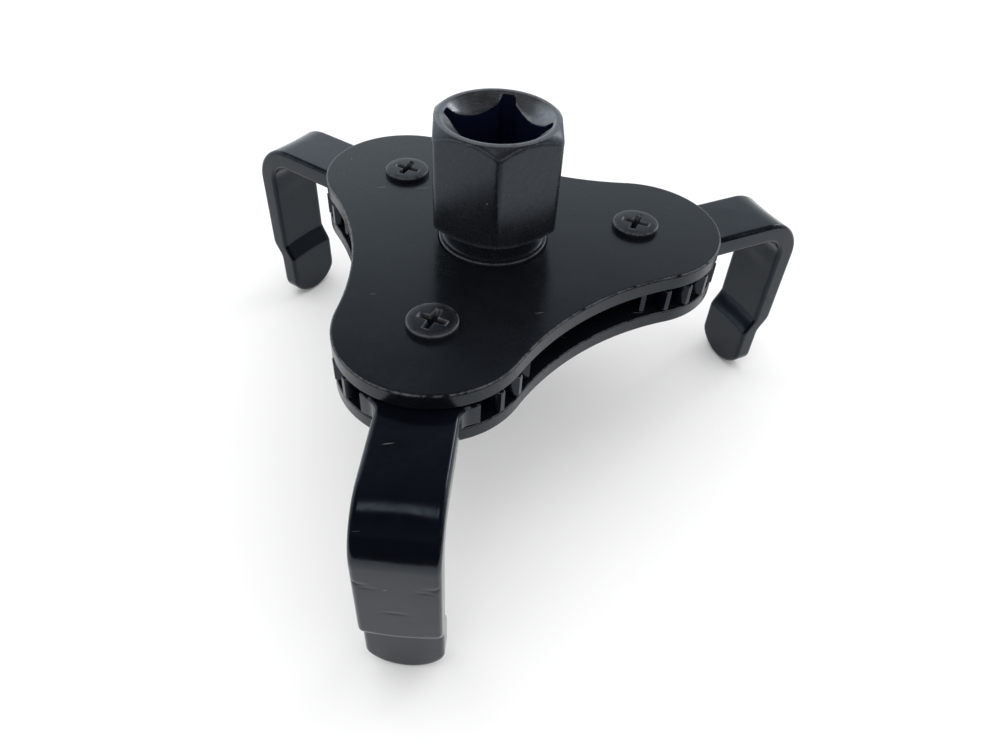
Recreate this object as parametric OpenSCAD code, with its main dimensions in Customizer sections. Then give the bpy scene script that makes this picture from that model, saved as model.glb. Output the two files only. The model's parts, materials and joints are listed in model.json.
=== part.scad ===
// Oil filter wrench with three hooked jaws that close together when the hub is turned.
// Millimetres, +Z up along the hub's axis. The origin is on that axis, in the plane of the jaw tips.
// Jaw 1 pivots on +X, jaw 2 at 120 degrees and jaw 3 at 240 degrees.

/* [Plates] */
// Distance from the hub's axis to each jaw pivot
pivot_r = 27; // [26:0.5:29]
// Radius of each rounded lobe
lobe_r = 16; // [14:0.5:16]
// Radius of the hollow curve between two lobes
waist_r = 51.5; // [40:0.5:80]
// Thickness of each plate
plate_t = 2.7; // [2:0.1:3.5]
// Gap between the two plates
plate_gap = 5; // [4.8:0.1:6]
// Height of the upper plate's top face above the jaw tips
plate_top_z = 44; // [38:0.5:60]

/* [Gears] */
// Teeth on the pinion, a multiple of three so that every jaw meshes alike
pinion_teeth = 18; // [15:3:21]
// Teeth on the full circle of a jaw's gear head
jaw_teeth = 22; // [20:2:24]
// Pressure angle in degrees
pressure_angle = 20; // [18:1:22]
// Play between two meshing teeth
backlash = 0.24; // [0.15:0.01:0.4]
// Degrees that each jaw stands turned from pointing straight out
jaw_rest = 15.7; // [-40:0.1:40]

/* [Jaws] */
// Width of the jaw's bar, leg and pad
jaw_w = 12.8; // [10:0.2:14]
// Thickness of the jaw
jaw_t = 4.1; // [3.6:0.1:4.6]
// Distance from the pivot to the leg's outer face
leg_reach = 37.6; // [34:0.2:60]
// Inner radius of the bend between bar and leg
bend_r = 4.6; // [1.5:0.1:5]
// Height of the pad's step above the jaw tips
pad_h = 11.2; // [8:0.2:14]
// How far the step moves the pad towards the filter
pad_step = 2; // [1:0.1:2.5]
// Height over which the step is made
step_h = 3.8; // [3.4:0.1:6]
// Radius across the bottom of the rounded tip
tip_r = 7; // [7:0.5:14]
// Radius of the tip's two corners
tip_corner_r = 3.2; // [2:0.1:4]
// Radius of the fillet where the bar leaves the gear head
root_fillet = 2.5; // [1:0.5:3]

/* [Hub] */
// Hexagon of the hub, across its flats
hex_af = 21; // [19:0.5:24]
// Height of the hub's top face above the upper plate
hub_h = 22.9; // [20:0.5:40]
// Height of the hexagon's underside above the upper plate
hex_bottom = 4.2; // [3:0.2:8]
// Side of the square drive socket
drive_af = 12.8; // [12.7:0.05:13]
// Depth of the square drive socket
drive_depth = 16.5; // [14:0.5:17]
// Radius of the conical mouth at the top face
mouth_r = 9.3; // [9.1:0.1:9.6]
// Turn of the hexagon about the hub's axis in degrees
hex_turn = 21.5; // [0:0.5:60]
// Turn of the drive square about the hub's axis in degrees
drive_turn = 23; // [0:0.5:90]

/* [Fasteners] */
// Radius of the pivot screw's head
screw_head_r = 4.3; // [3.8:0.1:5]
// Height of the pivot screw's head
screw_head_h = 1.15; // [1:0.05:2]
// Outer radius of the sleeve that each jaw turns on
sleeve_r = 4; // [3.5:0.1:5]
// Lock nut across its flats
nut_af = 7; // [6.5:0.5:8]
// Height of the lock nut
nut_h = 3.2; // [2.5:0.1:4]

/* [Hidden] */

$fn = 64;
run_gap = 0.05;                 // radial clearance of a running fit
snug_gap = 0.02;                // radial clearance between two pieces that don't move
side_play = 0.1;                // axial clearance of the hub's moving pieces
cut = 1;                        // how far a cutting tool runs past a face

// Levels of the two plates
top_low_z = plate_top_z - plate_t;
base_top_z = top_low_z - plate_gap;
base_low_z = base_top_z - plate_t;

// Hub
hub_top_z = plate_top_z + hub_h;
hex_low_z = plate_top_z + hex_bottom;
hex_corner_r = hex_af / 2 / cos(30);
rim_r = hex_af / 2 - 0.26;      // circle that the top and bottom chamfers start from
chamfer_h = 1.76;               // height of the top chamfer at the hexagon's corners
low_chamfer_h = 1.2;            // height of the bottom chamfer at the corners
neck_r = 8.8;
mouth_depth = 2.5;
journal_r = 9.8;                // turns in the upper plate and shows as a ring on it
journal_rise = 0.6;
journal_chamfer = 0.3;
key_r = 7.5;                    // the pinion's seat, a round with two flats
key_half = 6.3;
low_journal_r = 7;              // turns in the lower plate
groove_r = 6.7;
ring_t = 1;
washer_t = 0.8;
washer_r = 11;
ring_play = 0.05;
washer_top_z = base_low_z - ring_play;
ring_top_z = washer_top_z - washer_t - ring_play;
journal_low_z = ring_top_z - ring_t - 1.6;
end_chamfer = 0.5;

// Gears
gear_m = 2 * pivot_r / (pinion_teeth + jaw_teeth);
jaw_pitch = 360 / jaw_teeth;
pinion_pitch = 360 / pinion_teeth;
pinion_rest = pinion_pitch / 2 - jaw_rest * jaw_teeth / pinion_teeth;
gear_tip_r = (jaw_teeth / 2 + 1) * gear_m;
flank_steps = 6;
arc_steps = 8;                  // straight pieces in each arc of the jaw

// Jaw levels and reaches
jaw_low_z = base_top_z + (plate_gap - jaw_t) / 2;
jaw_top_z = jaw_low_z + jaw_t;
bend_centre = [leg_reach - jaw_t - bend_r, jaw_low_z - bend_r];
step_top_z = pad_h + step_h;
step_angle = 2 * atan(pad_step / step_h);
step_mid_r = step_h / (2 * sin(step_angle));
wing_turn = 57;                 // direction of the cross recess

// Fasteners
screw_r = 2;
spring_washer_r = 3.7;
spring_washer_t = 0.9;
nut_top_z = base_low_z - spring_washer_t;
screw_low_z = nut_top_z - nut_h - 0.6;

// ---- Gear teeth -------------------------------------------------------------------------------

// Turn in degrees of an involute between its base circle and radius r
function involute_turn(r, base_r) =
    let (roll = sqrt(max(0, pow(r / base_r, 2) - 1)))
    roll * 180 / PI - atan(roll);

// Half the angle that a tooth covers at radius r
function half_tooth(r, teeth) =
    let (pitch_r = teeth * gear_m / 2, base_r = pitch_r * cos(pressure_angle))
    let (half_at_pitch = (PI * gear_m / 2 - backlash / 2) / 2 / pitch_r * 180 / PI)
    half_at_pitch + involute_turn(pitch_r, base_r) - involute_turn(max(r, base_r), base_r);

// Outline of a whole gear with a tooth on +X, one flank up and one flank down for each tooth
function gear_outline(teeth) =
    let (root_r = (teeth / 2 - 1.25) * gear_m, tip_r = (teeth / 2 + 1) * gear_m)
    [for (i = [0 : teeth - 1], side = [-1, 1], k = [0 : flank_steps])
        let (step = side < 0 ? k : flank_steps - k)
        let (r = root_r + (tip_r - root_r) * step / flank_steps)
        let (a = i * 360 / teeth + side * half_tooth(r, teeth))
        [r * cos(a), r * sin(a)]];

// ---- Plates -----------------------------------------------------------------------------------

// Point where a lobe runs into the hollow curve on its left (side 1) or right (side -1)
function waist_tangent(lobe_angle, side) =
    let (d = waist_centre_r(), c = [d * cos(lobe_angle + side * 60), d * sin(lobe_angle + side * 60)])
    let (p = [pivot_r * cos(lobe_angle), pivot_r * sin(lobe_angle)])
    p + (c - p) * lobe_r / (lobe_r + waist_r);

// Distance from the hub's axis to the centre of a hollow curve that is tangent to both lobes
function waist_centre_r() =
    pivot_r / 2 + sqrt(pow(lobe_r + waist_r, 2) - 3 / 4 * pow(pivot_r, 2));

module plate_outline() {
    difference() {
        union() {
            polygon([for (a = [0, 120, 240], side = [-1, 1]) waist_tangent(a, side)]);
            for (a = [0, 120, 240])
                rotate(a) translate([pivot_r, 0]) circle(lobe_r);
        }
        for (a = [60, 180, 300])
            rotate(a) translate([waist_centre_r(), 0]) circle(waist_r);
    }
}

module plate(low_z, hub_bore_r) {
    translate([0, 0, low_z])
        difference() {
            linear_extrude(plate_t) plate_outline();
            translate([0, 0, -cut]) cylinder(r = hub_bore_r, h = plate_t + 2 * cut);
            for (a = [0, 120, 240])
                rotate(a) translate([pivot_r, 0, -cut])
                    cylinder(r = screw_r + 0.1, h = plate_t + 2 * cut);
        }
}

module top_plate() {
    color("#17181b") plate(top_low_z, journal_r + run_gap);
}

module bottom_plate() {
    color("#17181b") plate(base_low_z, low_journal_r + run_gap);
}

// ---- Hub --------------------------------------------------------------------------------------

// Hexagon with its corners turned off by a cone at both ends
module hub_head() {
    intersection() {
        rotate(hex_turn) translate([0, 0, hex_low_z])
            cylinder(r = hex_corner_r, h = hub_top_z - hex_low_z, $fn = 6);
        rotate_extrude()
            polygon([[0, hex_low_z], [rim_r, hex_low_z],
                     [hex_corner_r + 0.1, hex_low_z + low_chamfer_h],
                     [hex_corner_r + 0.1, hub_top_z - chamfer_h],
                     [rim_r, hub_top_z], [0, hub_top_z]]);
    }
}

// Everything below the hexagon: neck, journals, pinion seat and ring groove
module hub_shank() {
    rotate_extrude()
        polygon([[0, hex_low_z + cut], [neck_r, hex_low_z + cut],
                 [neck_r, plate_top_z + journal_rise],
                 [journal_r - journal_chamfer, plate_top_z + journal_rise],
                 [journal_r, plate_top_z + journal_rise - journal_chamfer],
                 [journal_r, top_low_z - side_play], [0, top_low_z - side_play]]);
    intersection() {
        translate([0, 0, base_top_z + side_play])
            cylinder(r = key_r, h = plate_gap - side_play);
        translate([-key_r, -key_half, base_top_z])
            cube([2 * key_r, 2 * key_half, plate_gap]);
    }
    rotate_extrude()
        polygon([[0, journal_low_z], [low_journal_r - end_chamfer, journal_low_z],
                 [low_journal_r, journal_low_z + end_chamfer],
                 [low_journal_r, ring_top_z - ring_t - ring_play],
                 [groove_r, ring_top_z - ring_t - ring_play], [groove_r, ring_top_z + ring_play],
                 [low_journal_r, ring_top_z + ring_play],
                 [low_journal_r, base_top_z + side_play], [0, base_top_z + side_play]]);
}

module drive_hub() {
    color("#232427")
        difference() {
            union() {
                hub_head();
                hub_shank();
            }
            rotate(drive_turn)
                translate([-drive_af / 2, -drive_af / 2, hub_top_z - drive_depth])
                    cube([drive_af, drive_af, drive_depth + cut]);
            translate([0, 0, hub_top_z - mouth_depth])
                cylinder(r1 = drive_af / 2, r2 = mouth_r, h = mouth_depth);
        }
}

module drive_pinion() {
    color("#2b2c2f")
        translate([0, 0, base_top_z + side_play])
            linear_extrude(plate_gap - 2 * side_play)
                difference() {
                    rotate(pinion_rest) polygon(gear_outline(pinion_teeth));
                    intersection() {
                        circle(key_r + snug_gap);
                        square([2 * key_r + cut, 2 * (key_half + snug_gap)], center = true);
                    }
                }
}

module thrust_washer() {
    color("#3a3b3d")
        translate([0, 0, washer_top_z - washer_t])
            difference() {
                cylinder(r = washer_r, h = washer_t);
                translate([0, 0, -cut]) cylinder(r = low_journal_r + run_gap, h = washer_t + 2 * cut);
            }
}

// Open spring ring with an eyed lug at each end
module retaining_ring() {
    ring_r = groove_r + snug_gap;
    rim = ring_r + 1.8;
    lug_r = 1.6;
    lug_angle = 17;
    color("#2f3032")
        translate([0, 0, ring_top_z - ring_t])
            linear_extrude(ring_t)
                difference() {
                    union() {
                        difference() {
                            circle(rim);
                            polygon([[0, 0], 2 * rim * [cos(lug_angle), -sin(lug_angle)],
                                     2 * rim * [cos(lug_angle), sin(lug_angle)]]);
                        }
                        for (side = [-1, 1])
                            rotate(side * lug_angle) translate([rim, 0]) circle(lug_r);
                    }
                    circle(ring_r);
                    for (side = [-1, 1])
                        rotate(side * lug_angle) translate([rim, 0]) circle(0.7);
                }
}

// ---- Jaws -------------------------------------------------------------------------------------

// Concave corner between the gear head's rim and one side of the bar
module root_corner() {
    rim = gear_tip_r + root_fillet;
    side = jaw_w / 2 + root_fillet;
    centre = [sqrt(rim * rim - side * side), side];
    touch = centre * gear_tip_r / rim;
    difference() {
        polygon([[0, 0], touch, centre, [centre[0], 0]]);
        translate(centre) circle(root_fillet);
    }
}

// Gear head and bar seen from above, with the pivot at the origin
module jaw_plan() {
    blank = 2 * jaw_pitch;
    difference() {
        union() {
            polygon(gear_outline(jaw_teeth));
            intersection() {
                circle(gear_tip_r);
                polygon([[0, 0], 2 * gear_tip_r * [cos(blank), -sin(blank)], [2 * gear_tip_r, 0],
                         2 * gear_tip_r * [cos(blank), sin(blank)]]);
            }
            translate([0, -jaw_w / 2]) square([bend_centre[0], jaw_w]);
            root_corner();
            mirror([0, 1]) root_corner();
        }
        circle(sleeve_r + run_gap);
    }
}

// Points along an arc, both ends included
function arc(centre, r, from, to) =
    [for (k = [0 : arc_steps])
        let (a = from + (to - from) * k / arc_steps)
        centre + r * [cos(a), sin(a)]];

// One side of the bar from the gear head through the bend, the leg and the step to the jaw's end.
// The step's lower arc leaves out its first point, where the upper arc ends.
function arm_side(out) =
    let (upper = [leg_reach - jaw_t / 2 - step_mid_r, step_top_z])
    let (lower = [leg_reach - jaw_t / 2 - pad_step + step_mid_r, pad_h])
    [[gear_tip_r, (jaw_low_z + jaw_top_z) / 2 + out],
     each arc(bend_centre, bend_r + jaw_t / 2 + out, 90, 0),
     each arc(upper, step_mid_r + out, 0, -step_angle),
     each arc(lower, step_mid_r - out, 180 - step_angle + step_angle / arc_steps, 180),
     [leg_reach - jaw_t / 2 - pad_step + out, 0]];

// Bar, bend, leg, step and pad seen from the side
module arm_profile() {
    outer = arm_side(jaw_t / 2);
    inner = arm_side(-jaw_t / 2);
    polygon([each outer, for (k = [len(inner) - 1 : -1 : 0]) inner[k]]);
}

// Outline that rounds the tip: a shallow arc between two corner arcs, and clear of the bar above them
module tip_outline() {
    half = jaw_w / 2 + snug_gap;
    corner_y = half - tip_corner_r;
    corner = [corner_y, tip_r - sqrt(pow(tip_r - tip_corner_r, 2) - pow(corner_y, 2))];
    middle_half = atan2(corner[0], tip_r - corner[1]);
    polygon([[-half - cut, jaw_top_z + cut], [-half - cut, corner[1]],
             each arc([-corner[0], corner[1]], tip_corner_r, 180, 270 - middle_half),
             each arc([0, tip_r], tip_r, 270 - middle_half * (arc_steps - 1) / arc_steps,
                      270 + middle_half * (arc_steps - 1) / arc_steps),
             each arc(corner, tip_corner_r, 270 + middle_half, 360),
             [half + cut, corner[1]], [half + cut, jaw_top_z + cut]]);
}

module jaw_arm() {
    intersection() {
        translate([0, jaw_w / 2, 0]) rotate([90, 0, 0]) linear_extrude(jaw_w) arm_profile();
        rotate([90, 0, 90]) linear_extrude(leg_reach + cut) tip_outline();
    }
}

module jaw(turn) {
    color("#141518")
        rotate(turn) translate([pivot_r, 0, 0]) rotate(jaw_rest) {
            translate([0, 0, jaw_low_z]) linear_extrude(jaw_t) jaw_plan();
            jaw_arm();
        }
}

module jaw_1() {
    jaw(0);
}

module jaw_2() {
    jaw(120);
}

module jaw_3() {
    jaw(240);
}

// ---- Pivot fasteners --------------------------------------------------------------------------

module at_pivot(turn) {
    rotate(turn) translate([pivot_r, 0, 0]) children();
}

// Cross recess that narrows towards its bottom
module cross_recess() {
    recess_r = 2.5;
    recess_depth = 2.2;
    wing_w = 1.2;
    intersection() {
        for (a = [0, 90])
            rotate(a) translate([-recess_r, -wing_w / 2, -recess_depth])
                cube([2 * recess_r, wing_w, recess_depth + cut]);
        translate([0, 0, -recess_depth])
            cylinder(r1 = 0.8, r2 = recess_r, h = recess_depth);
    }
}

module pivot_screw(turn) {
    edge = 0.3;
    head_top_z = plate_top_z + screw_head_h;
    color("#1d1e21")
        at_pivot(turn)
            difference() {
                rotate_extrude()
                    polygon([[0, screw_low_z], [screw_r - edge, screw_low_z],
                             [screw_r, screw_low_z + edge], [screw_r, plate_top_z],
                             [screw_head_r, plate_top_z], [screw_head_r, head_top_z - edge],
                             [screw_head_r - edge, head_top_z], [0, head_top_z]]);
                rotate(wing_turn - turn) translate([0, 0, head_top_z]) cross_recess();
            }
}

module pivot_sleeve(turn) {
    color("#6b6d70")
        at_pivot(turn) translate([0, 0, base_top_z])
            difference() {
                cylinder(r = sleeve_r, h = plate_gap);
                translate([0, 0, -cut]) cylinder(r = screw_r + run_gap, h = plate_gap + 2 * cut);
            }
}

// Ring with a slanting split
module spring_washer(turn) {
    color("#3a3b3d")
        at_pivot(turn) translate([0, 0, nut_top_z])
            difference() {
                cylinder(r = spring_washer_r, h = spring_washer_t);
                translate([0, 0, -cut]) cylinder(r = screw_r + run_gap, h = spring_washer_t + 2 * cut);
                rotate([25, 0, 0]) translate([0, -0.2, -2 * cut]) cube([2 * spring_washer_r, 0.4, 5 * cut]);
            }
}

module lock_nut(turn) {
    nut_corner_r = nut_af / 2 / cos(30);
    nut_chamfer = 0.5;
    color("#3a3b3d")
        at_pivot(turn) translate([0, 0, nut_top_z - nut_h])
            difference() {
                intersection() {
                    cylinder(r = nut_corner_r, h = nut_h, $fn = 6);
                    rotate_extrude()
                        polygon([[0, 0], [nut_af / 2 - 0.1, 0], [nut_corner_r + 0.1, nut_chamfer],
                                 [nut_corner_r + 0.1, nut_h], [0, nut_h]]);
                }
                translate([0, 0, -cut]) cylinder(r = screw_r + snug_gap, h = nut_h + 2 * cut);
            }
}

module pivot_screw_1() {
    pivot_screw(0);
}

module pivot_screw_2() {
    pivot_screw(120);
}

module pivot_screw_3() {
    pivot_screw(240);
}

module pivot_sleeve_1() {
    pivot_sleeve(0);
}

module pivot_sleeve_2() {
    pivot_sleeve(120);
}

module pivot_sleeve_3() {
    pivot_sleeve(240);
}

module spring_washer_1() {
    spring_washer(0);
}

module spring_washer_2() {
    spring_washer(120);
}

module spring_washer_3() {
    spring_washer(240);
}

module lock_nut_1() {
    lock_nut(0);
}

module lock_nut_2() {
    lock_nut(120);
}

module lock_nut_3() {
    lock_nut(240);
}

top_plate();
bottom_plate();
drive_hub();
drive_pinion();
thrust_washer();
retaining_ring();
jaw_1();
jaw_2();
jaw_3();
pivot_screw_1();
pivot_screw_2();
pivot_screw_3();
pivot_sleeve_1();
pivot_sleeve_2();
pivot_sleeve_3();
spring_washer_1();
spring_washer_2();
spring_washer_3();
lock_nut_1();
lock_nut_2();
lock_nut_3();
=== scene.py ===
import json
import math

import bmesh
import bpy
from mathutils import Matrix, Vector

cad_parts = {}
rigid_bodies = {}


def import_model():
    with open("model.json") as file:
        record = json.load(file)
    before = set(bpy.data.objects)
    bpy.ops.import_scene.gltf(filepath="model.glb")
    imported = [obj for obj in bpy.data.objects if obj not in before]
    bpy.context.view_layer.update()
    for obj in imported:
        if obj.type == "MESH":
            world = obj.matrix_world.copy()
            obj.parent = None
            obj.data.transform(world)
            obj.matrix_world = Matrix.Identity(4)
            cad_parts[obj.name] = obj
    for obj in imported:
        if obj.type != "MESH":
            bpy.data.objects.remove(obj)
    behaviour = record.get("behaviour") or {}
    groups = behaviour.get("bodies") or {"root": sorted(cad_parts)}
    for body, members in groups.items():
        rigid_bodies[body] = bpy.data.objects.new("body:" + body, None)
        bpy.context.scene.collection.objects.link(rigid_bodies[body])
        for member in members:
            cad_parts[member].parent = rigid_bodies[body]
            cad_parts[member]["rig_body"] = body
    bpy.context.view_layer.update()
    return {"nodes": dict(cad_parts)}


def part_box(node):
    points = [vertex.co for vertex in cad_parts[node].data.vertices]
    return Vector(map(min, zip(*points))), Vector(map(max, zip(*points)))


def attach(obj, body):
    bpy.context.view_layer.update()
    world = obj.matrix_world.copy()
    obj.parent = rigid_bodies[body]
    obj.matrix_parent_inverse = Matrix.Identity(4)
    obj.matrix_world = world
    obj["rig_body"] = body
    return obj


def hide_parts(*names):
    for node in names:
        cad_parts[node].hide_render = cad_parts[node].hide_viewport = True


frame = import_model()

MM = 0.001


def low_z(node):
    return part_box(node)[0].z / MM


def high_z(node):
    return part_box(node)[1].z / MM


# ---- Sizes in millimetres and degrees. Levels come from the CAD nodes' own boxes ---------------

PLATE_TOP = high_z("top_plate")
PLATE_LOW = low_z("top_plate")
BASE_TOP = high_z("bottom_plate")
BASE_LOW = low_z("bottom_plate")
HUB_TOP = high_z("drive_hub")
HUB_END = low_z("drive_hub")
HEAD_TOP = high_z("pivot_screw_1")
SCREW_END = low_z("pivot_screw_1")

# Plates
PIVOT_R = 27.0
LOBE_R = 16.0
WAIST_R = 51.5
HUB_BORE = 9.85
BASE_BORE = 7.05
SCREW_HOLE = 2.1
HOLE_EDGE = 0.15
RIM_BAND = 0.3
ARMS = (0, 120, 240)

# Jaws: a flat bar with a gear head, bent down into a leg that steps inwards at its pad
JAW_TURN = 15.7
JAW_W = 12.8
JAW_T = 4.1
JAW_LOW = BASE_TOP + (PLATE_LOW - BASE_TOP - JAW_T) / 2
LEG_REACH = 37.6
BEND_R = 4.6
PAD_H = 11.2
PAD_STEP = 2.0
STEP_H = 3.8
OUTER_STEP_H = STEP_H + 0.8
STEP_MARGIN = 0.9
TIP_R = 7.0
TIP_CORNER = 3.2
TIP_CENTRE = 7.6
SLEEVE_BORE = 4.05
BAR_START = 19.2
HALF_W = JAW_W / 2
HALF_T = JAW_T / 2
MID_Z = JAW_LOW + HALF_T
MID_R = BEND_R + HALF_T
BEND_S = LEG_REACH - JAW_T - BEND_R
BEND_Z = JAW_LOW - BEND_R
BEND_ARC = MID_R * math.pi / 2
STEP_MID = PAD_H + STEP_H / 2

# The leg's faces: how far its inner face is hollowed and its bend dished, and the press's marks
HOLLOW = 0.22
SADDLE = 0.25
HIGH_MARK = 29.2
HIGH_MARK_DEPTH = 0.13
HIGH_MARK_SLOPE = 0.75
HIGH_MARK_REACH = 3.6
LOW_MARK = 21.2
LOW_MARK_DEPTH = 0.07

# Gear teeth. RIM_TEETH on each side of the bar are left as a plain rim
TEETH = 22
PINION_TEETH = 18
RIM_TEETH = 2
MODULE = 2 * PIVOT_R / (PINION_TEETH + TEETH)
GEAR_TIP = (TEETH / 2 + 1) * MODULE
GEAR_ROOT = (TEETH / 2 - 1.25) * MODULE
PRESSURE = math.radians(20)
BACKLASH = 0.24
ROOT_FILLET = 2.5

# Edge radii, and steps across a jaw's rounded edge and from there to its middle
EDGE = 0.85
RIM_EDGE = 0.45
TOOTH_EDGE = 0.22
FLAT = 0.25
ROUND = 5
CORE = 5

# Hub
HEX_AF = 21.0
HEX_LOW = PLATE_TOP + 4.2
HEX_TURN = 21.5
HEX_FILLET = 1.5
RIM_R = HEX_AF / 2 - 0.26
CHAMFER_H = 1.76
LOW_CHAMFER_H = 1.2
DRIVE_AF = 12.8
DRIVE_TURN = 23.0
DRIVE_DEPTH = 16.5
RELIEF_R = 8.95
RELIEF_END = 11.0
RELIEF_BLEND = 5.5
MOUTH_R = 9.3
MOUTH_DEPTH = 2.5
NECK_R = 8.8
NECK_FILLET = 0.5
JOURNAL_R = 9.8
JOURNAL_RISE = 0.6
JOURNAL_EDGE = 0.32
LOW_JOURNAL_R = 7.0
END_CHAMFER = 0.5
GROOVE_R = 6.7
SHANK_R = 6.25

# Screws
HEAD_R = 4.3
HEAD_EDGE = 0.42
SCREW_R = 2.0
RECESS_R = 2.5
WING_W = 0.62
WING_TURN = 57.0

# Wear, from 0 to 1, on the rows of each rounded edge from its foot to its top
LOW_EDGE_WEAR = (0, 0.1, 0.1, 0.1, 0.1, 0)
TOP_EDGE_WEAR = (0, 0.1, 0.3, 0.65, 0.35, 0)
TOOTH_WEAR = (0, 0.6, 1, 1, 0.6, 0, 0)
JOURNAL_WEAR = (0, 0.2, 0.5, 0.6, 0.3, 0)
HEAD_WEAR = (0, 0.1, 0.3, 0.45, 0.3, 0.1)
BAR_WEAR = 0.1
BAR_WEAR_ROWS = (2, 3)


# ---- Meshes ------------------------------------------------------------------------------------


def polar(r, a):
    return (r * math.cos(a), r * math.sin(a))


def smooth(x):
    """Eases from 0 to 1."""
    x = min(1.0, max(0.0, x))
    return x * x * (3 - 2 * x)


def crown(w):
    """1 along the middle of the jaw's bar, 0 at its sides."""
    return 1 - (w / HALF_W) ** 2


def round_over(steps):
    """A quarter round of radius 1 from its foot to its top: (distance in, distance below the top)."""
    turns = [math.pi / 2 * k / steps for k in range(steps + 1)]
    return [(1 - math.cos(u), 1 - math.sin(u)) for u in turns]


def pairs(row, closed):
    """Neighbours along a row, or all the way round a loop."""
    return list(zip(row, row[1:] + row[:1] if closed else row[1:]))


class Shell:
    """A piece in the making: vertices in millimetres, how worn each one is, and faces."""

    def __init__(self):
        self.verts = []
        self.wear = []
        self.faces = []

    def add(self, point, worn=0.0):
        self.verts.append(point)
        self.wear.append(worn)
        return len(self.verts) - 1

    def strip(self, a, b, closed=False, flip=False):
        """Quads between two rows of vertex numbers."""
        for (a1, a2), (b1, b2) in zip(pairs(a, closed), pairs(b, closed)):
            self.faces.append([a1, b1, b2, a2] if flip else [a1, a2, b2, b1])

    def fan(self, row, centre, closed=False, flip=False):
        """Triangles from a row of vertex numbers to one vertex."""
        for a, b in pairs(row, closed):
            self.faces.append([a, centre, b] if flip else [a, b, centre])

    def fill(self, loops, up):
        """Triangles between closed loops of vertex numbers that lie in one level plane."""
        bm = bmesh.new()
        made = {i: bm.verts.new(self.verts[i]) for loop in loops for i in loop}
        back = {v: i for i, v in made.items()}
        edges = [bm.edges.new((made[a], made[b])) for loop in loops for a, b in pairs(loop, True)]
        bmesh.ops.triangle_fill(bm, use_beauty=True, edges=edges, normal=(0, 0, 1))
        for f in bm.faces:
            ids = [back[v] for v in f.verts]
            self.faces.append(ids if (f.normal.z > 0) == up else ids[::-1])
        bm.free()

    def place(self, centre, turn):
        """Turns the piece about the origin by degrees, then moves the origin to a centre."""
        c, s = polar(1, math.radians(turn))
        px, py = centre
        self.verts = [(px + x * c - y * s, py + x * s + y * c, z) for x, y, z in self.verts]


def lathe(rows, cols, end_levels):
    """Rows of (radius, height, wear) at the angles in cols, the first and last closed to a point.

    A row is one such triple for all angles, or a list with one for each."""
    shell = Shell()
    numbered = []
    for row in rows:
        spots = [row] * len(cols) if isinstance(row, tuple) else row
        numbered.append([shell.add((*polar(r, a), z), worn) for a, (r, z, worn) in zip(cols, spots)])
    for a, b in zip(numbered, numbered[1:]):
        shell.strip(a, b, closed=True)
    for row, z in zip((numbered[0], numbered[-1]), end_levels):
        shell.fan(row, shell.add((0, 0, z)), closed=True)
    return shell


def link(name, mesh):
    obj = bpy.data.objects.new(name, mesh)
    bpy.context.scene.collection.objects.link(obj)
    return obj


def stand_in(obj, body, node):
    """Weighted normals, then the CAD body that the piece rides on; the CAD node it stands for is hidden."""
    normals = obj.modifiers.new("normals", "WEIGHTED_NORMAL")
    normals.keep_sharp = True
    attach(obj, body)
    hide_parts(node)


def build(shell, body, node, mats, sharp):
    """The shell as a closed mesh, riding on a CAD body in place of a node."""
    mesh = bpy.data.meshes.new(node + "_detail")
    mesh.from_pydata([Vector(v) * MM for v in shell.verts], [], shell.faces)
    bm = bmesh.new()
    bm.from_mesh(mesh)
    bmesh.ops.recalc_face_normals(bm, faces=bm.faces)
    bm.to_mesh(mesh)
    bm.free()
    attr = mesh.attributes.new("wear", "FLOAT", "POINT")
    attr.data.foreach_set("value", shell.wear)
    for p in mesh.polygons:
        p.use_smooth = True
    mesh.set_sharp_from_angle(angle=math.radians(sharp))
    for mat in mats:
        mesh.materials.append(mat)
    obj = link(node + "_detail", mesh)
    stand_in(obj, body, node)
    return obj


# ---- Plates ------------------------------------------------------------------------------------


def plate_ring(inset):
    """The three-lobed outline, moved inwards: round each lobe, then along the waist to the next."""
    lobe_steps, waist_steps = 28, 30
    waist_d = PIVOT_R / 2 + math.sqrt((LOBE_R + WAIST_R) ** 2 - 0.75 * PIVOT_R ** 2)
    points = []
    for arm in ARMS:
        a = math.radians(arm)
        p = Vector(polar(PIVOT_R, a))
        c = Vector(polar(waist_d, a + math.pi / 3))
        q = Vector(polar(PIVOT_R, a + 2 * math.pi / 3))
        out = (c - p).angle_signed(Vector(polar(1, a)))
        for k in range(2 * lobe_steps + 1):
            points.append(p + Vector(polar(LOBE_R - inset, a + out * (k / lobe_steps - 1))))
        start = math.atan2(p.y - c.y, p.x - c.x)
        turn = (q - c).angle_signed(p - c)
        for k in range(1, waist_steps):
            points.append(c + Vector(polar(WAIST_R + inset, start + turn * k / waist_steps)))
    return points


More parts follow.
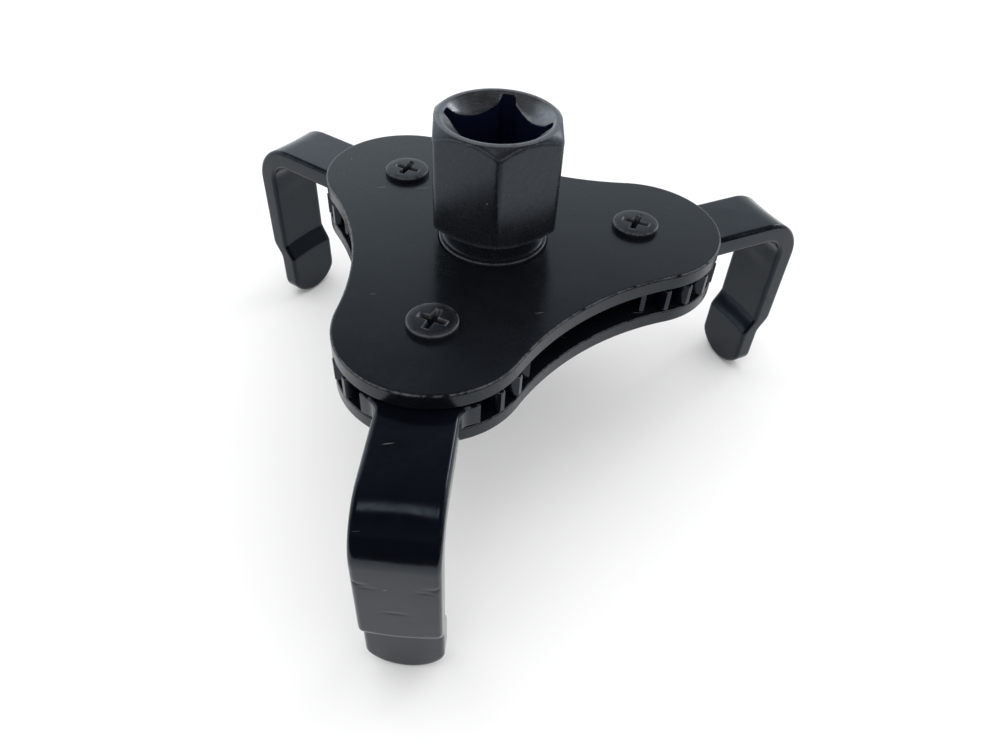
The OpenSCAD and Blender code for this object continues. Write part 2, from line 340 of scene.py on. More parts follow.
def plate(node, low, high, bore, top_edge, low_edge, mat):
    """A sheared plate: one edge is rolled over and the other is nearly sharp."""
    shell = Shell()

    def ring(points, z, worn=0):
        return [shell.add((x, y, z), worn) for x, y in points]

    def join(rings):
        for a, b in zip(rings, rings[1:]):
            shell.strip(a, b, closed=True)
        return rings[0], rings[-1]

    rounds = round_over(len(TOP_EDGE_WEAR) - 1)
    outer = [ring(plate_ring(low_edge + RIM_BAND), low)]
    for (into, down), worn in zip(rounds, LOW_EDGE_WEAR):
        outer.append(ring(plate_ring(low_edge * down), low + low_edge * into, worn))
    for (into, down), worn in zip(rounds, TOP_EDGE_WEAR):
        outer.append(ring(plate_ring(top_edge * into), high - top_edge * down, worn))
    outer.append(ring(plate_ring(top_edge + RIM_BAND), high))
    ends = [join(outer)]

    levels = ((low, HOLE_EDGE), (low + HOLE_EDGE, 0), (high - HOLE_EDGE, 0), (high, HOLE_EDGE))
    holes = [((0, 0), bore, 96)] + [(polar(PIVOT_R, math.radians(a)), SCREW_HOLE, 32) for a in ARMS]
    for (cx, cy), r, n in holes:
        rings = []
        for z, grow in levels:
            circle = [polar(r + grow, 2 * math.pi * i / n) for i in range(n)]
            rings.append(ring([(cx + x, cy + y) for x, y in circle], z))
        ends.append(join(rings))
    shell.fill([low_end for low_end, _ in ends], False)
    shell.fill([high_end for _, high_end in ends], True)
    build(shell, "plates", node, [mat], sharp=40)


# ---- Jaws --------------------------------------------------------------------------------------


def half_tooth(r):
    """Half the angle that an involute tooth takes at a radius."""
    pitch_r = TEETH * MODULE / 2
    base_r = pitch_r * math.cos(PRESSURE)

    def turn(x):
        roll = math.sqrt(max(0.0, (x / base_r) ** 2 - 1))
        return roll - math.atan(roll)

    at_pitch = (math.pi * MODULE / 2 - BACKLASH / 2) / 2 / pitch_r
    return at_pitch + turn(pitch_r) - turn(max(r, base_r))


def head_outline():
    """Gear head from the bar's far side round to its near side: (point, edge radius)."""
    pitch = 2 * math.pi / TEETH
    rim = GEAR_TIP + ROOT_FILLET
    side = HALF_W + ROOT_FILLET
    cx = math.sqrt(rim ** 2 - side ** 2)
    touch = math.atan2(side, cx)
    half = [((x, HALF_W), EDGE) for x in (BAR_START, (BAR_START + cx) / 2, cx)]
    for k in range(1, 9):
        x, y = polar(ROOT_FILLET, -math.pi / 2 - (math.pi / 2 - touch) * k / 8)
        half.append(((cx + x, side + y), EDGE + (RIM_EDGE - EDGE) * k / 8))
    end = RIM_TEETH * pitch + half_tooth(GEAR_TIP)
    for k in range(1, 6):
        a = touch + (end - touch) * k / 5
        half.append((polar(GEAR_TIP, a), RIM_EDGE + (TOOTH_EDGE - RIM_EDGE) * k / 5))

    flank = 6
    levels = [GEAR_ROOT + (GEAR_TIP - GEAR_ROOT) * k / flank for k in range(flank + 1)]
    teeth = [polar(r, RIM_TEETH * pitch + half_tooth(r)) for r in reversed(levels[:-1])]
    for i in range(RIM_TEETH + 1, TEETH - RIM_TEETH):
        teeth += [polar(r, i * pitch - half_tooth(r)) for r in levels]
        teeth.append(polar(GEAR_TIP, i * pitch))
        teeth += [polar(r, i * pitch + half_tooth(r)) for r in reversed(levels)]
    teeth += [polar(r, (TEETH - RIM_TEETH) * pitch - half_tooth(r)) for r in levels[:-1]]
    far_half = [((x, -y), edge) for (x, y), edge in reversed(half)]
    return half + [(p, TOOTH_EDGE) for p in teeth] + far_half


def press_mark(z, w):
    """Depth of the marks that the bending tool left on the leg's outer face."""
    from_side = HALF_W - abs(w)
    lip = HIGH_MARK - HIGH_MARK_SLOPE * from_side
    at_edges = HIGH_MARK_DEPTH * smooth((HIGH_MARK_REACH - from_side) / 1.6)
    at_edges *= smooth(from_side / 0.5 - 0.3) * math.exp(-((z - lip) / 0.34) ** 2)
    in_middle = LOW_MARK_DEPTH * math.exp(-((w + 0.4) / 1.3) ** 4)
    in_middle *= math.exp(-((z - LOW_MARK) / 0.3) ** 2)
    return at_edges + in_middle


def leg_face(z, w, outside):
    """Distance of the leg's middle from the pivot, as its outer or inner face needs it."""
    if outside:
        height, centre, ease = OUTER_STEP_H, STEP_MID + 0.2 - 0.9 * crown(w), 1.0
        dip = -press_mark(z, w)
    else:
        height, centre, ease = STEP_H, STEP_MID + 0.3 * crown(w), 0.35
        dip = HOLLOW * crown(w) * smooth((BEND_Z - 1 - z) / 4)
    share = min(1.0, max(0.0, (centre + height / 2 - z) / height))
    share = ease * smooth(share) + (1 - ease) * share
    return LEG_REACH - HALF_T - PAD_STEP * share + dip


def along(z):
    """Distance along the bar, from the pivot, at a height on its leg."""
    return BEND_S + BEND_ARC + BEND_Z - z


def jaw_point(q, w, n):
    """Place of a point of the bent bar: q along it, w across it, n outwards from its middle."""
    if q <= BEND_S:
        return (q, w, MID_Z + n)
    if q < BEND_S + BEND_ARC:
        if n > 0:
            n -= SADDLE * crown(w) * math.sin(math.pi * (q - BEND_S) / BEND_ARC) ** 2
        x, z = polar(MID_R + n, math.pi / 2 - (q - BEND_S) / MID_R)
        return (BEND_S + x, w, BEND_Z + z)
    z = BEND_Z - (q - BEND_S - BEND_ARC)
    return (leg_face(z, w, n > 0) + n, w, z)


# Across a rounded edge of the bar: distances in from its side, and heights above its middle
EDGE_ROWS = round_over(ROUND)
INSETS = [EDGE * into for into, _ in EDGE_ROWS] + [EDGE + FLAT]
HEIGHTS = [HALF_T - EDGE * down for _, down in EDGE_ROWS] + [HALF_T]


def bar_section():
    """The outer half of the bar's cross-section, from side to side: (across, above the middle)."""
    core = [(HALF_W - EDGE - FLAT) * (1 - k / CORE) for k in range(1, CORE)]
    half = [(HALF_W - d, h) for d, h in zip(INSETS, HEIGHTS)] + [(x, HALF_T) for x in core]
    return [(-x, h) for x, h in half] + [(0.0, HALF_T)] + half[::-1]


def bar_stations():
    """Where the bar is cut across, closer together at its bend, marks and step."""
    step_from = along(STEP_MID + STEP_H / 2 + STEP_MARGIN)
    step_to = along(STEP_MID - STEP_H / 2 - STEP_MARGIN)
    stations = [BAR_START + (BEND_S - BAR_START) * k / 6 for k in range(7)]
    stations += [BEND_S + BEND_ARC * k / 18 for k in range(1, 19)]
    stations += [along(HIGH_MARK) + 0.2 * k for k in range(-4, 17)]
    stations += [along(LOW_MARK) + 0.16 * k for k in range(-5, 6)]
    stations += [step_from - 3, step_from - 1.5]
    stations += [step_from + (step_to - step_from) * k / 24 for k in range(25)]
    return stations + [along(TIP_CENTRE)]


def bar(shell):
    """The bent bar. Gives its first and last cut, each as an outer and an inner row."""
    section = bar_section()
    cuts = []
    for q in bar_stations():
        outer = []
        for i, (w, n) in enumerate(section):
            from_side = min(i, len(section) - 1 - i)
            worn = BAR_WEAR if from_side in BAR_WEAR_ROWS else 0
            outer.append(shell.add(jaw_point(q, w, n), worn))
        inner = [shell.add(jaw_point(q, w, -n)) for w, n in reversed(section)]
        cuts.append((outer, inner))
    for (outer, inner), (next_outer, next_inner) in zip(cuts, cuts[1:]):
        shell.strip(outer + inner, next_outer + next_inner, closed=True)
    return cuts[0], cuts[-1]


def tip_path(inset):
    """The tip's outline, moved inwards, from one side of the leg to the other: (across, height)."""
    side, corner_r, end_r = HALF_W - inset, TIP_CORNER - inset, TIP_R - inset
    corner_y = HALF_W - TIP_CORNER
    corner_z = TIP_R - math.sqrt((TIP_R - TIP_CORNER) ** 2 - corner_y ** 2)
    meet = math.atan2(corner_z - TIP_R, -corner_y)
    left = [(-side, TIP_CENTRE), (-side, corner_z)]
    for k in range(1, 7):
        y, z = polar(corner_r, -math.pi + (meet + math.pi) * k / 6)
        left.append((-corner_y + y, corner_z + z))
    end = []
    for k in range(1, 17):
        y, z = polar(end_r, meet - (math.pi / 2 + meet) * 2 * k / 16)
        end.append((y, TIP_R + z))
    return left + end + [(-y, z) for y, z in reversed(left[:-1])]


def tip(shell, cut):
    """The leg's rounded end, from the bar's last cut."""
    paths = [tip_path(inset) for inset in INSETS]
    heights = HEIGHTS + [HALF_T] * (CORE - 1)
    innermost = paths[-1]
    for k in range(1, CORE):
        share = 1 - k / CORE
        paths.append([(y * share, TIP_CENTRE + (z - TIP_CENTRE) * share) for y, z in innermost])

    def face(row_above, outside):
        rows = []
        for k, (path, height) in enumerate(zip(paths, heights)):
            worn = BAR_WEAR if outside and k in BAR_WEAR_ROWS else 0
            n = height if outside else -height
            made = [shell.add(jaw_point(along(z), y, n), worn) for y, z in path[1:-1]]
            rows.append([row_above[k]] + made + [row_above[-1 - k]])
        for a, b in zip(rows, rows[1:]):
            shell.strip(a, b, flip=not outside)
        shell.fan(rows[-1], row_above[len(row_above) // 2], flip=not outside)
        return rows[0]

    outer, inner = cut
    outer_rim = face(outer, True)
    inner_rim = face(inner[::-1], False)
    shell.strip(outer_rim, inner_rim, flip=True)


def head(shell, cut):
    """The flat gear head, its rim and teeth rounded over, from the bar's first cut."""
    outline = head_outline()
    points = [Vector(p) for p, _ in outline]
    rim = []
    for before, (p, edge), after in zip(points, outline[1:], points[2:]):
        d = (after - before).normalized()
        rim.append((Vector(p), edge, Vector((d.y, -d.x))))
    bore_steps = 40
    bore_turns = [2 * math.pi * i / bore_steps for i in range(bore_steps)]
    rounds = EDGE_ROWS + EDGE_ROWS[-1:]

    def face(row_at_bar, side):
        rows = []
        for k, (into, down) in enumerate(rounds):
            row = [row_at_bar[-1 - k]]
            for p, edge, normal in rim:
                flat = min(FLAT, edge / 2) if k > ROUND else 0
                at = p - normal * (edge * into + flat)
                worn = TOOTH_WEAR[k] if edge < EDGE - FLAT else 0
                row.append(shell.add((at.x, at.y, MID_Z + side * (HALF_T - edge * down)), worn))
            rows.append(row + [row_at_bar[k]])
        for a, b in zip(rows, rows[1:]):
            if side > 0:
                shell.strip(a, b)
            else:
                shell.strip(b, a)
        bore = [shell.add((*polar(SLEEVE_BORE, a), MID_Z + side * HALF_T)) for a in bore_turns]
        # What is left of the bar's row, between its rounded edges, closes the outline
        between = row_at_bar[len(rounds):-len(rounds)]
        shell.fill([rows[-1] + between, bore], side > 0)
        return rows[0], bore

    outer, inner = cut
    top_rim, top_bore = face(outer, 1)
    low_rim, low_bore = face(inner[::-1], -1)
    shell.strip(top_rim, low_rim, flip=True)
    shell.strip(top_bore, low_bore, closed=True)


def jaw(number, arm, mat):
    shell = Shell()
    first_cut, last_cut = bar(shell)
    tip(shell, last_cut)
    head(shell, first_cut)
    shell.place(polar(PIVOT_R, math.radians(arm)), arm + JAW_TURN)
    name = "jaw_%d" % number
    build(shell, name, name, [mat], sharp=50)


# ---- Hub ---------------------------------------------------------------------------------------

# Half the angle of the hexagon's side; the centre of its corners' rounding, and the angle from a
# corner at which the rounding ends
HALF_SIDE = math.pi / 6
FILLET_CENTRE = (HEX_AF / 2 - HEX_FILLET) / math.cos(HALF_SIDE)
FILLET_END = math.atan2(HEX_FILLET * math.sin(HALF_SIDE), FILLET_CENTRE + HEX_FILLET * math.cos(HALF_SIDE))


def hexagon_radius(a):
    """Polar radius of the hexagon with rounded corners, a measured from one corner."""
    a = (a + HALF_SIDE) % (2 * HALF_SIDE) - HALF_SIDE
    if abs(a) < FILLET_END:
        off_centre = FILLET_CENTRE * math.sin(a)
        return FILLET_CENTRE * math.cos(a) + math.sqrt(HEX_FILLET ** 2 - off_centre ** 2)
    return HEX_AF / 2 / math.cos(HALF_SIDE - abs(a))


def socket_radius(a):
    """Polar radius of the square socket, its corners relieved by a short arc."""
    corner = math.radians(DRIVE_TURN + 45)
    off = abs((a - corner + math.pi / 4) % (math.pi / 2) - math.pi / 4)
    side = DRIVE_AF / 2 / math.cos(math.pi / 4 - off)
    return side + (RELIEF_R - side) * smooth((RELIEF_END - math.degrees(off)) / RELIEF_BLEND)


def around(first, count, near):
    """Degrees round a polygon: as near each corner as given, and eleven even steps between."""
    reach, part = max(near), 360 / count
    found = set()
    for corner in (first + part * i for i in range(count)):
        found.update(corner + side * d for d in near for side in (-1, 1))
        found.update(corner + reach + (part - 2 * reach) * k / 12 for k in range(1, 12))
    return {round(a % 360, 3) for a in found}


def hub_columns():
    """The hub's angles in radians, which follow both its hexagon and its socket."""
    fillet = math.degrees(FILLET_END)
    least_gap = 0.25
    relief = [0, 0.3 * RELIEF_END] + [RELIEF_END - RELIEF_BLEND * k / 4 for k in range(5)]
    angles = around(HEX_TURN, 6, [fillet * k / 4 for k in range(5)])
    angles |= around(DRIVE_TURN + 45, 4, relief)
    kept = [min(angles)]
    for a in sorted(angles):
        if a - kept[-1] > least_gap:
            kept.append(a)
    return [math.radians(a) for a in kept]


def shifted(edge, r_shift, z_shift, worn=0.0):
    """A row of the lathe that keeps a distance from an edge."""
    return [(r + r_shift, z + z_shift, worn) for r, z in edge]


def hub_shaft():
    """The hub's rows from its lower end up to the hexagon."""
    gap = 0.1
    groove_low = low_z("retaining_ring") - gap / 2
    groove_top = high_z("retaining_ring") + gap / 2
    journal_top = PLATE_TOP + JOURNAL_RISE
    rows = [
        (LOW_JOURNAL_R - END_CHAMFER, HUB_END, 0.3),
        (LOW_JOURNAL_R, HUB_END + END_CHAMFER, 0.3),
        (LOW_JOURNAL_R, groove_low, 0),
        (GROOVE_R, groove_low, 0),
        (GROOVE_R, groove_top, 0),
        (LOW_JOURNAL_R, groove_top, 0),
        (LOW_JOURNAL_R, BASE_TOP + gap, 0),
        (SHANK_R, BASE_TOP + gap, 0),
        (SHANK_R, PLATE_LOW - gap, 0),
        (JOURNAL_R, PLATE_LOW - gap, 0),
    ]
    for (into, down), worn in zip(round_over(len(JOURNAL_WEAR) - 1), JOURNAL_WEAR):
        rows.append((JOURNAL_R - JOURNAL_EDGE * into, journal_top - JOURNAL_EDGE * down, worn))
    for into, down in round_over(4):
        rows.append((NECK_R + NECK_FILLET * down, journal_top + NECK_FILLET * into, 0))
    undercut = 0.3
    rows.append((NECK_R, HEX_LOW - undercut, 0))
    rows.append((NECK_R + undercut, HEX_LOW, 0))
    rows.append((RIM_R, HEX_LOW, 0))
    return rows


def hub_hexagon(cols):
    """The rows of the hexagon and of the flat rim on its top."""
    corner_r = HEX_AF / 2 / math.cos(HALF_SIDE) + 0.1
    top_slope = CHAMFER_H / (corner_r - RIM_R)
    low_slope = LOW_CHAMFER_H / (corner_r - RIM_R)
    hexagon = [hexagon_radius(a - math.radians(HEX_TURN)) for a in cols]
    low = [(r, HEX_LOW + (r - RIM_R) * low_slope) for r in hexagon]
    top = [(r, HUB_TOP - (r - RIM_R) * top_slope) for r in hexagon]
    edge, band = 0.16, 0.8
    run = math.hypot(1, low_slope)
    rows = [
        shifted(low, -edge / run, -edge * low_slope / run, 0.2),
        shifted(low, -0.05, 0, 0.5),
        shifted(low, 0, edge, 0.2),
        shifted(low, 0, band),
    ]
    for k in range(1, 4):
        ends = [(r, z1 + band, z2 - band) for (r, z1), (_, z2) in zip(low, top)]
        rows.append([(r, z1 + (z2 - z1) * k / 4, 0) for r, z1, z2 in ends])
    rows += [
        shifted(top, 0, -band),
        shifted(top, 0, -0.25, 0.05),
        shifted(top, -0.07, -0.03, 0.35),
        [(max(RIM_R + 0.25, r - 0.3), min(HUB_TOP - 0.25 * top_slope, z + 0.3 * top_slope), 0)
         for r, z in top],
        (RIM_R + 0.12, HUB_TOP - 0.16 * top_slope, 0.15),
        (RIM_R - 0.04, HUB_TOP - 0.05, 1),
        (RIM_R - 0.2, HUB_TOP, 0.7),
        (MOUTH_R + 0.25, HUB_TOP, 0.5),
        (MOUTH_R + 0.08, HUB_TOP - 0.04, 1),
    ]
    return rows


def hub_socket(cols):
    """The rows of the conical mouth, down to where it meets the square socket, and of the socket."""
    cone = MOUTH_DEPTH / (MOUTH_R - DRIVE_AF / 2)
    floor_z = HUB_TOP - DRIVE_DEPTH
    square = [socket_radius(a) for a in cols]
    meet = [(r, HUB_TOP - (MOUTH_R - r) * cone) for r in square]
    edge = 0.06
    start_r, start_z = MOUTH_R - edge, HUB_TOP - 0.1
    rows = []
    for share in (0, 0.2, 0.4, 0.6, 0.8):
        rows.append([(start_r + (r + edge - start_r) * share, start_z + (z + edge - start_z) * share, 0)
                     for r, z in meet])
    rows += [shifted(meet, edge, edge * cone), shifted(meet, 0, -0.1), shifted(meet, 0, -0.6)]
    rows.append([(r, HUB_TOP - DRIVE_DEPTH * 0.6, 0) for r in square])
    rows.append([(r, floor_z, 0) for r in square])
    rows.append([(r / 2, floor_z, 0) for r in square])
    return rows


def hub(mat, mouth_mat, socket_shade_mat):
    cols = hub_columns()
    rows = hub_shaft() + hub_hexagon(cols) + hub_socket(cols)
    shell = lathe(rows, cols, (HUB_END, HUB_TOP - DRIVE_DEPTH))
    mats = [mat, mouth_mat, socket_shade_mat]
    obj = build(shell, "hub", "drive_hub", mats, sharp=38)
    # The mouth's faces take the turned steel; the socket's walls and floor take the darker painted-shade
    # black
    for face in obj.data.polygons:
        at = face.center / MM
        if at.xy.length < MOUTH_R + 0.02 and at.z > HUB_TOP - DRIVE_DEPTH - 0.1:
            in_mouth = abs(face.normal.z) > 0.3 and at.z > HUB_TOP - MOUTH_DEPTH - 0.2
            face.material_index = mats.index(mouth_mat if in_mouth else socket_shade_mat)


# ---- Screws ------------------------------------------------------------------------------------


def recess_radius(a, reach, wing):
    """Polar radius of a cross: its wings reach so far and are twice wing wide."""
    off = (a + math.pi / 4) % (math.pi / 2) - math.pi / 4
    return min(reach, wing / max(1e-6, abs(math.sin(off))))


def screw(number, arm, mat):
    kink = math.degrees(math.asin(WING_W / RECESS_R))
    angles = []
    for at in (0, 90, 180, 270):
        angles += [at + kink * k for k in (-1, -0.66, -0.33, 0, 0.33, 0.66)]
        angles += [at + kink + (45 - kink) * k / 6 for k in range(6)]
        angles += [at + 45 + (45 - kink) * k / 6 for k in range(6)]
    cols = [math.radians(a) for a in sorted(angles)]

    rows = [
        (SCREW_R - 0.3, SCREW_END, 0.3),
        (SCREW_R, SCREW_END + 0.3, 0.3),
        (SCREW_R, PLATE_TOP - 0.05, 0),
        (SCREW_R, PLATE_TOP, 0),
        (HEAD_R, PLATE_TOP, 0),
    ]
    for (into, down), worn in zip(round_over(len(HEAD_WEAR) - 1), HEAD_WEAR):
        rows.append((HEAD_R - HEAD_EDGE * into, HEAD_TOP - 0.1 - HEAD_EDGE * down, worn))
    rows.append((3.2, HEAD_TOP - 0.035, 0))
    mouth = [(recess_radius(a, RECESS_R, WING_W), HEAD_TOP) for a in cols]
    rows += [
        shifted(mouth, 0.3, -0.015),
        shifted(mouth, 0.1, -0.02, 0.5),
        shifted(mouth, 0, -0.09, 0.8),
    ]
    narrowing = ((0.35, 2.25, 0.58, 0.35), (1.1, 1.62, 0.5, 0), (1.8, 1.02, 0.42, 0), (2.15, 0.7, 0.36, 0))
    for depth, reach, wing, worn in narrowing:
        rows.append([(recess_radius(a, reach, wing), HEAD_TOP - depth, worn) for a in cols])

    shell = lathe(rows, cols, (SCREW_END, HEAD_TOP - 2.3))
    shell.place(polar(PIVOT_R, math.radians(arm)), WING_TURN)
    build(shell, "plates", "pivot_screw_%d" % number, [mat], sharp=35)


# ---- Small hardware: the CAD shape with its edges broken ---------------------------------------


def broken_edges(node, width, mat):
    source = frame["nodes"][node]
    bm = bmesh.new()
    bm.from_mesh(source.data)
    bmesh.ops.remove_doubles(bm, verts=bm.verts, dist=1e-6)
    bmesh.ops.dissolve_limit(bm, angle_limit=math.radians(1), verts=bm.verts, edges=bm.edges)
    mesh = bpy.data.meshes.new(node + "_detail")
    bm.to_mesh(mesh)
    bm.free()
    mesh.attributes.new("wear", "FLOAT", "POINT")
    for p in mesh.polygons:
        p.use_smooth = True
    mesh.materials.clear()
    mesh.materials.append(mat)
    obj = link(node + "_detail", mesh)
    bevel = obj.modifiers.new("edges", "BEVEL")
    bevel.width = width * MM
    bevel.segments = 2
    bevel.limit_method = "ANGLE"
    bevel.angle_limit = math.radians(35)
    stand_in(obj, source["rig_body"], node)


# ---- Materials ---------------------------------------------------------------------------------


def scaled(color, share, plus=0.0):
    return tuple(plus + c * share for c in color)


class Graph:
    """Short hand for building a node tree."""

    def __init__(self, tree):
        self.tree = tree
        tree.nodes.clear()

    def new(self, kind, **inputs):
        """A shader node; its inputs are named with _ for a space."""
        node = self.tree.nodes.new("ShaderNode" + kind)
        for key, value in inputs.items():
            self.feed(node, key.replace("_", " "), value)
        return node

    def feed(self, node, key, value):
        """Sets a socket to a constant, or links another socket to it."""
        socket = node.inputs[key]
        if isinstance(value, bpy.types.NodeSocket):
            self.tree.links.new(value, socket)
        elif socket.type == "RGBA":
            socket.default_value = (*value, 1)
        else:
            socket.default_value = value

    def span(self, value, low, high, to_low, to_high, eased=False):
        """Maps low..high to to_low..to_high, held at the ends."""
        node = self.new("MapRange", Value=value, From_Min=low, From_Max=high, To_Min=to_low, To_Max=to_high)
        node.clamp = True
        node.interpolation_type = "SMOOTHSTEP" if eased else "LINEAR"
        return node.outputs[0]

    def math(self, kind, a, b):
        node = self.new("Math")
        node.operation = kind
        self.feed(node, 0, a)
        self.feed(node, 1, b)
        return node.outputs[0]


class Material(Graph):
    """A node tree with one principled shader, its textures in the object's own coordinates."""

    def __init__(self, name):
        self.mat = bpy.data.materials.new(name)
        self.mat.use_nodes = True
        super().__init__(self.mat.node_tree)
        self.shader = self.new("BsdfPrincipled")
        self.new("OutputMaterial", Surface=self.shader.outputs[0])
        self.here = self.new("TexCoord").outputs["Object"]

    def set(self, **inputs):
        for key, value in inputs.items():
            self.feed(self.shader, key.replace("_", " "), value)

    def noise(self, scale, detail=2, rough=0.5, vector=None):
        vector = self.here if vector is None else vector
        node = self.new("TexNoise", Scale=scale, Detail=detail, Roughness=rough, Vector=vector)
        return node.outputs["Fac"]

    def mix(self, fac, a, b):
        node = self.new("Mix")
        node.data_type = "RGBA"
        # A Mix node has one set of inputs for each data type; its colours are 6 and 7, out at 2
        for key, value in ((0, fac), (6, a), (7, b)):
            self.feed(node, key, value)
        return node.outputs[2]

    def specks(self, scale, size, share):
        """Small round dots in a share of the cells."""
        cells = self.new("TexVoronoi", Scale=scale, Vector=self.here)
        dot = self.span(cells.outputs["Distance"], size, size * 0.4, 0, 1)
        part = self.new("SeparateColor", Color=cells.outputs["Color"])
        chosen = self.span(part.outputs[0], 1 - share, 1 - share + 0.01, 0, 1)
        return self.math("MULTIPLY", dot, chosen)

    def scratches(self, share):
        """Fine straight marks, a few to each square centimetre at a share of 0.1."""
        mapping = self.new("Mapping", Vector=self.here, Rotation=(0.2, 0.3, 0.9), Scale=(1, 16, 16))
        marks = self.noise(170, 1, vector=mapping.outputs[0])
        return self.span(marks, 0.82 - share, 0.87 - share, 0, 0.7)

    def wear(self):
        node = self.new("Attribute")
        node.attribute_name = "wear"
        return node.outputs["Fac"]

    def bump(self, *layers):
        """Layers are (height, distance in mm)."""
        node = None
        for height, distance in layers:
            below = {"Normal": node.outputs[0]} if node else {}
            node = self.new("Bump", Strength=1, Distance=distance * MM, Height=height, **below)
        self.set(Normal=node.outputs[0])


def black_paint(name, base, rough, worn=(0.1, 0.105, 0.115), peel=0.006, grain=0.003,
                wear_from=0.38, dust=0.0, fleck=0.06, ior=1.42):
    """Black paint or oxide on steel: grain, uneven gloss, edges rubbed paler, a little dust.

    peel and grain are heights in mm. wear_from is how much of a worn edge stays covered, fleck how
    far its flecks show, and dust the share of cells with a speck; it adds scratches too."""
    m = Material(name)
    cloud = m.noise(90, 3, 0.6)
    fine = m.noise(900, 3, 0.6)
    patchy = m.noise(2600, 2, 0.7)
    tone = m.mix(m.span(cloud, 0.35, 0.65, 0, 1), scaled(base, 0.8), scaled(base, 1.2))
    tone = m.mix(m.span(patchy, 0.55, 0.75, 0, fleck), tone, scaled(base, 2.2, 0.01))
    mottle = m.math("ADD", m.math("MULTIPLY", fine, 0.6), m.math("MULTIPLY", cloud, 0.4))
    rubbed = m.math("MULTIPLY", m.wear(), m.span(mottle, wear_from, wear_from + 0.16, 0, 1))
    marks = m.math("MAXIMUM", m.specks(330, 0.07, dust), m.scratches(dust))
    tone = m.mix(marks, m.mix(rubbed, tone, worn), (0.2, 0.21, 0.22))
    gloss = m.span(mottle, 0.3, 0.7, rough - 0.05, rough + 0.06)
    m.set(
        Base_Color=tone,
        Metallic=m.span(rubbed, 0, 1, 0, 0.3),
        Roughness=m.math("ADD", gloss, m.math("MULTIPLY", marks, 0.3)),
        Specular_Tint=(0.73, 0.86, 1.0),
        IOR=ior,
    )
    m.bump((m.noise(70, 1, 0.4), peel * 3), (m.noise(200, 2, 0.5), peel), (fine, grain), (patchy, grain / 2))
    return m.mat


def turned_steel(name):
    """Bare metal cut on a lathe: fine rings, and gloss drawn out across them."""
    m = Material(name)
    flat = m.new("VectorMath")
    flat.operation = "MULTIPLY"
    m.feed(flat, 0, m.here)
    m.feed(flat, 1, (1, 1, 0))
    radius = m.new("VectorMath")
    radius.operation = "LENGTH"
    m.feed(radius, 0, flat.outputs[0])
    rings = m.new("TexNoise", Scale=6000, Detail=2)
    rings.noise_dimensions = "1D"
    m.feed(rings, "W", radius.outputs["Value"])
    cut_marks = rings.outputs["Fac"]
    stain = m.span(m.noise(330, 3, 0.6), 0.42, 0.6, 0, 0.45)
    steel = m.mix(cut_marks, (0.13, 0.136, 0.146), (0.27, 0.277, 0.29))
    tangent = m.new("Tangent")
    tangent.direction_type = "RADIAL"
    tangent.axis = "Z"
    m.set(
        Base_Color=m.mix(stain, steel, (0.05, 0.055, 0.063)),
        Roughness=m.span(cut_marks, 0.3, 0.7, 0.24, 0.36),
        Metallic=0.9,
        Anisotropic=0.75,
        Anisotropic_Rotation=0.25,
        Tangent=tangent.outputs[0],
    )
    m.bump((cut_marks, 0.004), (m.noise(900, 3, 0.6), 0.004))
    return m.mat


def matt(name, color, rough):
    """A plain matt surface, its tone uneven by one part in a hundred."""
    m = Material(name)
    tone = m.mix(m.span(m.noise(30, 3), 0.3, 0.7, 0, 1), scaled(color, 0.99), color)
    m.set(Base_Color=tone, Roughness=rough, Specular_IOR_Level=0.2)
    return m.mat


WORN_STEEL = (0.14, 0.145, 0.155)

PLATE = black_paint("plate_paint", (0.0035, 0.0042, 0.0056), 0.25, worn=(0.13, 0.136, 0.145),
                    peel=0.008, grain=0.0004, wear_from=0.4, dust=0.025, fleck=0.03, ior=1.4)
JAW = black_paint("jaw_paint", (0.0016, 0.0023, 0.0042), 0.16, peel=0.05, grain=0.0005,
                  wear_from=0.45, dust=0.02)
HUB = black_paint("hub_oxide", (0.006, 0.0068, 0.0088), 0.25, peel=0.008,
                  wear_from=0.33, dust=0.03, fleck=0.6, ior=1.5)
MOUTH = turned_steel("turned_steel")
# Painted shade: the socket's walls and floor get a darker, bluer black than the hub's oxide, standing in for
# the shade deep in the recess
SOCKET_SHADE = black_paint("socket_painted_shade", (0.0015, 0.0028, 0.013), 0.45, grain=0.006,
                     wear_from=0.36, dust=0.03, fleck=0.3, ior=1.3)
SCREW = black_paint("screw_oxide", (0.005, 0.0058, 0.0075), 0.27, worn=WORN_STEEL)
HARDWARE = black_paint("hardware_oxide", (0.012, 0.013, 0.015), 0.34, worn=WORN_STEEL)
GEAR = black_paint("gear_oxide", (0.008, 0.009, 0.011), 0.3, worn=WORN_STEEL)
SLEEVE = black_paint("sleeve_steel", (0.28, 0.28, 0.29), 0.3, worn=WORN_STEEL)

# ---- The object --------------------------------------------------------------------------------

plate("top_plate", PLATE_LOW, PLATE_TOP, HUB_BORE, top_edge=0.4, low_edge=0.15, mat=PLATE)
plate("bottom_plate", BASE_LOW, BASE_TOP, BASE_BORE, top_edge=0.25, low_edge=0.4, mat=PLATE)
hub(HUB, MOUTH, SOCKET_SHADE)
for i, arm in enumerate(ARMS, 1):
    jaw(i, arm, JAW)
    screw(i, arm, SCREW)
    broken_edges("lock_nut_%d" % i, 0.12, HARDWARE)
    broken_edges("spring_washer_%d" % i, 0.08, HARDWARE)
broken_edges("thrust_washer", 0.1, HARDWARE)
broken_edges("retaining_ring", 0.08, HARDWARE)

# The pinion and the sleeves keep their CAD shape
for node, mat in [("drive_pinion", GEAR)] + [("pivot_sleeve_%d" % i, SLEEVE) for i in (1, 2, 3)]:
    data = frame["nodes"][node].data
    data.materials.clear()
    data.materials.append(mat)

# ---- Floor, light and camera, in metres --------------------------------------------------------


def sheet(name, mat, **where):
    """A flat rectangle that belongs to the stage and not to the object."""
    bpy.ops.mesh.primitive_plane_add(**where)
    obj = bpy.context.object
    obj.name = name
    obj.data.materials.append(mat)
    return obj


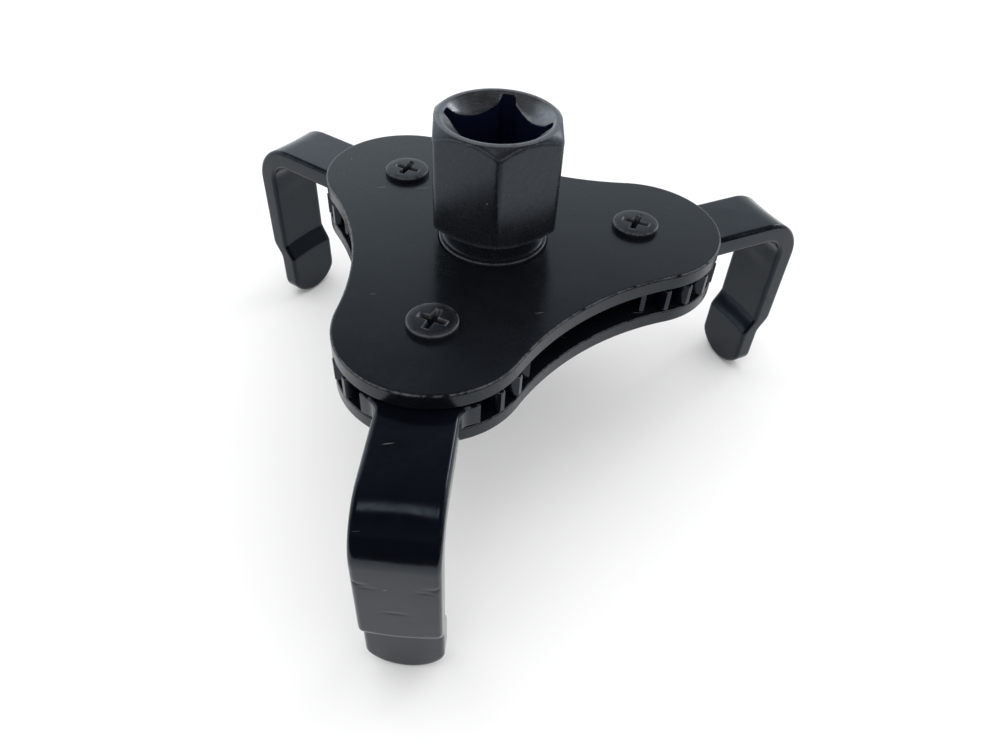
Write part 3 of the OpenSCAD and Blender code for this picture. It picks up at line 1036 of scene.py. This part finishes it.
def area(name, location, target, size, power, color=(1, 1, 1), shape="RECTANGLE"):
    light = bpy.data.lights.new(name, "AREA")
    light.shape = shape
    light.size, light.size_y = size
    light.energy = power
    light.color = color
    obj = link(name, light)
    obj.location = location
    toward = Vector(target) - Vector(location)
    obj.rotation_euler = toward.to_track_quat("-Z", "Y").to_euler()
    return obj


sheet("floor", matt("floor_pale", (0.8, 0.8, 0.8), 0.8), size=12, location=(0, 0, 0))

# A broad soft light above, kept out of the gloss; one for the highlight on the front bend; and
# one for the bright spot in the hub's mouth
overhead = area("overhead", (0, 0, 0.9), (0, 0, 0), (1.2, 1.2), 3)
overhead.visible_glossy = False
area("glow", (-0.15, -0.275, 0.735), (-0.02, -0.06, 0.03), (0.085, 0.25), 0.12, (0.95, 0.97, 1.0), "ELLIPSE")
area("window", (0.78, 0.45, 0.49), (0, 0, 0.06), (0.12, 0.34), 0.75)

# A dark card in front, seen only in the tool's gloss: the bright table ended there
card = sheet("card", matt("card_black", (0.004, 0.004, 0.006), 0.9),
             size=1, location=(0, -0.121, 0.03), rotation=(math.pi / 2, 0, 0))
card.scale = (0.7, 0.06, 1)
card.visible_camera = False
card.visible_diffuse = False
card.visible_shadow = False

# The sky is plain white, except in gloss: there it is bright low down and behind the tool, dim to
# the right, and dark overhead and in front
world = bpy.data.worlds.new("studio")
bpy.context.scene.world = world
world.use_nodes = True
sky = Graph(world.node_tree)
toward = sky.new("SeparateXYZ", Vector=sky.new("TexCoord").outputs["Generated"])
low_down = sky.span(toward.outputs["Z"], 0.45, 0.8, 1.25, 0.06, eased=True)
behind = sky.span(toward.outputs["Y"], -0.35, 0.25, 0.07, 1.0)
aside = sky.span(toward.outputs["X"], 0.0, 0.5, 1.0, 0.72)
graded = sky.math("MULTIPLY", sky.math("MULTIPLY", low_down, behind), aside)
in_gloss = sky.new("Background", Strength=graded, Color=(0.86, 0.94, 1.0))
plain = sky.new("Background", Strength=1.2, Color=(1, 1, 1))
either = sky.new("MixShader", Fac=sky.new("LightPath").outputs["Is Glossy Ray"])
sky.feed(either, 1, plain.outputs[0])
sky.feed(either, 2, in_gloss.outputs[0])
sky.new("OutputWorld", Surface=either.outputs[0])

# The photograph's camera, placed from the upper plate's top face
AZIMUTH, ELEVATION, ROLL = math.radians(-12.3304), math.radians(44.3489), math.radians(3.7103)
EYE = Vector((-22.2576, -115.7315, 79.7598 + PLATE_TOP)) * MM
SENSOR_W = 36
FOCAL_OVER_WIDTH = 0.770023
back = Vector((
    math.sin(AZIMUTH) * math.cos(ELEVATION),
    -math.cos(AZIMUTH) * math.cos(ELEVATION),
    math.sin(ELEVATION),
))
right = (-back).cross(Vector((0, 0, 1))).normalized()
up = right.cross(-back)
turned_right = right * math.cos(ROLL) + up * math.sin(ROLL)
turned_up = up * math.cos(ROLL) - right * math.sin(ROLL)
camera = link("camera", bpy.data.cameras.new("camera"))
camera.data.sensor_width = SENSOR_W
camera.data.lens = SENSOR_W * FOCAL_OVER_WIDTH
camera.data.clip_start = 0.005
camera.matrix_world = Matrix((turned_right, turned_up, back)).transposed().to_4x4()
camera.matrix_world.translation = EYE
bpy.context.scene.camera = camera

view = bpy.context.scene.view_settings
view.view_transform = "Standard"
view.look = "None"
view.exposure = 0
view.gamma = 1
